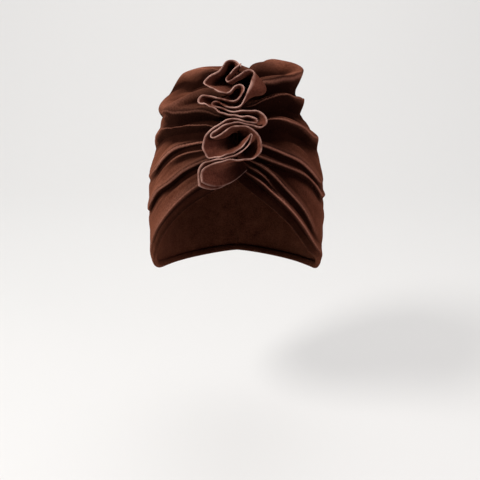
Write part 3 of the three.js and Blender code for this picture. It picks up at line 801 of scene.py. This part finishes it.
# %% [markdown]
# A second group turns the marks into painted light on the velour. The pile drifts
# between its plain dark colour and its nap. Crests get a painted highlight towards the
# pale colour, and creases get painted shade towards a near black. The thin painted
# highlight line along a fold comes from the distance to its crest, so it stays crisp
# between the points of the mesh. The grain breaks the border so that no mark has a clean
# outline. Open says how far the cloth lies outside the painted shade.

# %% Painted light node group
# The near black is painted shade and the palest colour a painted highlight.
PILE_AND_LIGHT_COLOURS = {
    "Shade Colour": (0.002, 0.001, 0.001, 1),
    "Plain": (0.02, 0.004, 0.002, 1),
    "Nap": (0.12, 0.04, 0.02, 1),
    "Highlight Colour": (0.3, 0.14, 0.1, 1),
}
PILE_AND_LIGHT_VALUES = {
    "Patch": 0.5, "Grain": 0.5, "Highlight Strength": 0.95, "Shade Strength": 0.92, "Line Width": 0.0046,
}
PATCH_DRIFT, GRAIN_DRIFT, GRAIN_BREAK = 0.20, 0.34, 0.5


def painted_light_group():
    group = bpy.data.node_groups.new("velour_painted_light", "ShaderNodeTree")
    for kind, defaults in (("Color", PILE_AND_LIGHT_COLOURS), ("Float", PILE_AND_LIGHT_VALUES)):
        for name, value in defaults.items():
            socket = group.interface.new_socket(
                name, in_out="INPUT", socket_type=f"NodeSocket{kind}")
            socket.default_value = value
    group.interface.new_socket("Colour", in_out="OUTPUT", socket_type="NodeSocketColor")
    group.interface.new_socket("Open", in_out="OUTPUT", socket_type="NodeSocketFloat")
    nodes, links = group.nodes, group.links
    entry, leave = nodes.new("NodeGroupInput").outputs, nodes.new("NodeGroupOutput").inputs

    grain_drift = maths(group, "MULTIPLY", entry["Grain"], GRAIN_DRIFT)
    drift = maths(group, "MULTIPLY_ADD", entry["Patch"], PATCH_DRIFT, grain_drift)
    plain = mix(group, drift, entry["Plain"], entry["Nap"])
    # Painted highlight on crests and along the thin line by each fold.
    distance = maths(group, "ABSOLUTE", mark(group, "from_crest"))
    near = {"From Max": entry["Line Width"], "To Min": 1, "To Max": 0}
    near = ranged(group, distance, near, "SMOOTHSTEP")
    line = maths(group, "MULTIPLY", near, mark(group, "line"))
    high = maths(group, "ADD", mark(group, "crest"), line, clamp=True)
    highlight = maths(group, "MULTIPLY", high, entry["Highlight Strength"])
    broken = maths(group, "MULTIPLY_ADD", entry["Grain"], GRAIN_BREAK, 1 - GRAIN_BREAK)
    highlight = maths(group, "MULTIPLY", highlight, broken)
    raised = mix(group, highlight, plain, entry["Highlight Colour"])
    # Painted shade in the creases, kept off the highlight line.
    sunk = maths(group, "MULTIPLY", mark(group, "crease"), entry["Shade Strength"])
    sunk = maths(group, "MULTIPLY", sunk, maths(group, "SUBTRACT", 1, line))
    links.new(mix(group, sunk, raised, entry["Shade Colour"]), leave["Colour"])
    links.new(maths(group, "SUBTRACT", 1, sunk), leave["Open"])
    return group


PAINTED_LIGHT = painted_light_group()
print("painted light group inputs:", [s.name for s in PAINTED_LIGHT.interface.items_tree if s.in_out == "INPUT"])

# %% [markdown]
# The velours themselves. A plain rough brown would look like clay: cut pile sends light
# back along grazing angles, so each velour has a slight warm sheen on the shader. Outside
# the painted shade, a painted sheen also lifts its colour towards the nap at the rims,
# where the surface turns away from the view. The ruffle's velour also shows its raw cut
# edge, where the paler backing of the knit comes out.

# %% Velour materials
# DEEP is the painted shade colour, and the palest colour of each velour its painted highlight.
DARK, DEEP = (0.016, 0.0032, 0.0014, 1), (0.0020, 0.0005, 0.0004, 1)
VELOURS = {
    "crown": {
        "Plain": DARK, "Shade Colour": DEEP,
        "Nap": (0.128, 0.045, 0.026, 1), "Highlight Colour": (0.310, 0.132, 0.092, 1),
    },
    "hem": {
        "Plain": DARK, "Shade Colour": DEEP,
        "Nap": (0.120, 0.042, 0.024, 1), "Highlight Colour": (0.270, 0.105, 0.070, 1),
    },
    "ruffle": {
        "Plain": (0.024, 0.0052, 0.0030, 1), "Shade Colour": DEEP,
        "Nap": (0.120, 0.043, 0.028, 1), "Highlight Colour": (0.230, 0.092, 0.064, 1),
    },
}
CUT_EDGE = (0.25, 0.150, 0.125, 1)
FINISH = {
    "Sheen Weight": 0.09,
    "Sheen Roughness": 0.32,
    "Sheen Tint": (0.90, 0.32, 0.20, 1),
    "Specular IOR Level": 0.0,
}
RIM_BLEND, RIM_SHARE = 0.28, 0.60
ROUGH_ENDS = {"To Min": 0.78, "To Max": 0.96}
BUMP = {"Strength": 0.6, "Distance": 0.0004}


def velour(name, colours):
    material = bpy.data.materials.new(f"velour_{name}")
    material.use_nodes = True
    tree = material.node_tree
    nodes, links = tree.nodes, tree.links
    shader = nodes["Principled BSDF"]
    for socket, value in FINISH.items():
        shader.inputs[socket].default_value = value
    pile, painted_light = nodes.new("ShaderNodeGroup"), nodes.new("ShaderNodeGroup")
    pile.node_tree, painted_light.node_tree = PILE, PAINTED_LIGHT
    for socket, value in colours.items():
        painted_light.inputs[socket].default_value = value
    for socket in ("Patch", "Grain"):
        links.new(pile.outputs[socket], painted_light.inputs[socket])

    # Painted sheen: the colour lifts towards the nap where the surface turns away from the view.
    rim = nodes.new("ShaderNodeLayerWeight")
    rim.inputs["Blend"].default_value = RIM_BLEND
    share = maths(tree, "MULTIPLY", painted_light.outputs["Open"], RIM_SHARE)
    lift = maths(tree, "MULTIPLY", rim.outputs["Facing"], share)
    colour = mix(tree, lift, painted_light.outputs["Colour"], colours["Nap"])
    if name == "ruffle":
        frayed = maths(tree, "MULTIPLY", mark(tree, "raw_edge"), pile.outputs["Patch"])
        colour = mix(tree, frayed, colour, CUT_EDGE)
    links.new(colour, shader.inputs["Base Color"])

    links.new(ranged(tree, pile.outputs["Patch"], ROUGH_ENDS), shader.inputs["Roughness"])
    bump = nodes.new("ShaderNodeBump")
    for socket, value in BUMP.items():
        bump.inputs[socket].default_value = value
    links.new(pile.outputs["Height"], bump.inputs["Height"])
    links.new(bump.outputs["Normal"], shader.inputs["Normal"])
    return material


MATERIALS = {name: velour(name, colours) for name, colours in VELOURS.items()}
print("materials:", [material.name for material in MATERIALS.values()])

# %% [markdown]
# Each piece takes the place of its solid and rides on the one body. A gathered panel is
# cut bigger than it looks, by the fullness that its gathers take up.

# %% Dress the frame
for hand in ("left", "right"):
    for piece, node, kind in (
        (crown[hand], f"crown_panel_{hand}", "crown"),
        (ruffle[hand], f"ruffle_{hand}", "ruffle"),
    ):
        piece.data.materials.append(MATERIALS[kind])
        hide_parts(node)
        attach(piece, "root")
hem.data.materials.append(MATERIALS["hem"])
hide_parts("hem_band")
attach(hem, "root")

# %% [markdown]
# The stage is a pale sweep of paper: a floor that curves up behind, so that no horizon
# cuts the picture. The turban is held up over it, as it is worn. A soft light from the
# left and a weaker fill keep the shadows open. The paper and the world are paler to the
# camera than to the turban, so the backdrop stays evenly pale and adds little light of
# its own.

# %% Floor and light
FLOOR, NEAR_END, SWEEP_BEND, SWEEP_STEPS, SWEEP_TOP, HALF_WIDTH = -0.17, -1.6, 0.9, 24, 3.0, 3.0
PAPER = {
    # socket: as the turban is lit by it, as the camera sees it
    "Base Color": ((0.56, 0.557, 0.552, 1), (0.17, 0.169, 0.168, 1)),
    "Emission Color": ((0, 0, 0, 1), (0.54, 0.534, 0.526, 1)),
}
WORLD_COLOUR, WORLD_STRENGTH = (1.0, 0.99, 0.97, 1), {"To Min": 0.12, "To Max": 0.72}

bend = np.linspace(0, math.pi / 2, SWEEP_STEPS)
profile = np.stack([1 + np.sin(bend), 1 - np.cos(bend)], -1) * SWEEP_BEND + [0, FLOOR]
profile = [(NEAR_END, FLOOR), *profile.tolist(), (2 * SWEEP_BEND, SWEEP_TOP)]
verts = [(x, y, z) for y, z in profile for x in (-HALF_WIDTH, HALF_WIDTH)]
faces = [(2 * i, 2 * i + 1, 2 * i + 3, 2 * i + 2) for i in range(len(profile) - 1)]
sweep_mesh = bpy.data.meshes.new("sweep")
sweep_mesh.from_pydata(verts, [], faces)
sweep_mesh.polygons.foreach_set("use_smooth", np.ones(len(faces), bool))
sweep = bpy.data.objects.new("sweep", sweep_mesh)
bpy.context.collection.objects.link(sweep)
paper = bpy.data.materials.new("pale_paper")
paper.use_nodes = True
tree = paper.node_tree
paper_shader = tree.nodes["Principled BSDF"]
paper_shader.inputs["Roughness"].default_value = 0.9
paper_shader.inputs["Emission Strength"].default_value = 1.0
by_camera = tree.nodes.new("ShaderNodeLightPath").outputs["Is Camera Ray"]
for socket, (lighting, seen) in PAPER.items():
    tree.links.new(mix(tree, by_camera, lighting, seen), paper_shader.inputs[socket])
sweep_mesh.materials.append(paper)


def area_light(name, place, aim, size, power, colour=(1, 1, 1)):
    data = bpy.data.lights.new(name, "AREA")
    data.shape, data.size, data.energy, data.color = "DISK", size, power, colour
    light = bpy.data.objects.new(name, data)
    bpy.context.collection.objects.link(light)
    light.location = place
    heading = np.array(aim, float) - np.array(place, float)
    pitch = math.acos(-heading[2] / float(np.linalg.norm(heading)))
    light.rotation_euler = (pitch, 0, math.atan2(-heading[0], heading[1]))


area_light("key", (-0.9, -0.75, 1.15), (0, 0, 0.08), 0.45, 54, (1.0, 0.98, 0.95))
area_light("fill", (1.0, -1.1, 0.55), (0, 0, 0.08), 0.8, 13.5, (1.0, 0.84, 0.88))
area_light("above", (0.1, 0.2, 1.6), (0, 0, 0.1), 1.0, 4)
area_light("backdrop", (0.0, 0.75, 1.5), (0, 1.5, 0.1), 1.6, 17)
world = bpy.data.worlds.new("studio")
world.use_nodes = True
tree = world.node_tree
background = tree.nodes["Background"]
background.inputs["Color"].default_value = WORLD_COLOUR
by_camera = tree.nodes.new("ShaderNodeLightPath").outputs["Is Camera Ray"]
tree.links.new(ranged(tree, by_camera, WORLD_STRENGTH), background.inputs["Strength"])
bpy.context.scene.world = world
bpy.context.scene.view_settings.view_transform = "Standard"
print("stage ready")
